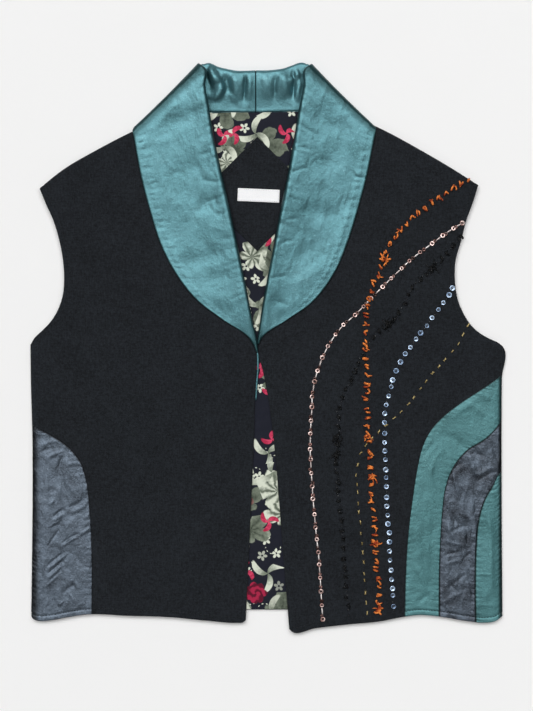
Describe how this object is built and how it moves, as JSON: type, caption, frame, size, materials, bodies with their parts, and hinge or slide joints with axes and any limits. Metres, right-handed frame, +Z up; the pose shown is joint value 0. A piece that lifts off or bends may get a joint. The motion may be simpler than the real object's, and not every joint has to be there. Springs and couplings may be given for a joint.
{
  "type": "vest",
  "caption": "Sleeveless black cloth vest laid flat on its back, with a teal leather shawl collar, curved leather side panels, a printed back lining and rows of trimming on the left front.",
  "frame": {"origin": "middle of the garment's outline, on the table that it lies on", "axes": "+X to the viewer's right, which is the wearer's left; +Y up the garment, from the hem to the neck; +Z up from the table"},
  "size_m": [0.4976, 0.5972, 0.0171],
  "materials": {
    "black_cloth": "matt, close woven",
    "teal_leather": "soft satin sheen",
    "deep_teal_leather": "satin",
    "charcoal_leather": "creased, satin",
    "printed_lining": "smooth, printed with flowers and leaves on a dark ground",
    "white_label": "woven satin ribbon, bare",
    "trim_yarn": "knotted yarn and thread",
    "trim_sequins": "metallised sequins",
    "trim_beads": "small glossy beads"
  },
  "bodies": {
    "root": {"back_cloth": "black_cloth", "back_lining": "printed_lining", "neck_patch": "black_cloth", "woven_label": "white_label", "front_right": "black_cloth", "front_left": "black_cloth", "side_panel_right_front": "charcoal_leather", "side_band_left_outer": "deep_teal_leather", "side_band_left_middle": "charcoal_leather", "side_band_left_inner": "deep_teal_leather", "front_piping": "teal_leather", "collar_right": "teal_leather", "collar_left": "teal_leather"}
  },
  "joints": []
}
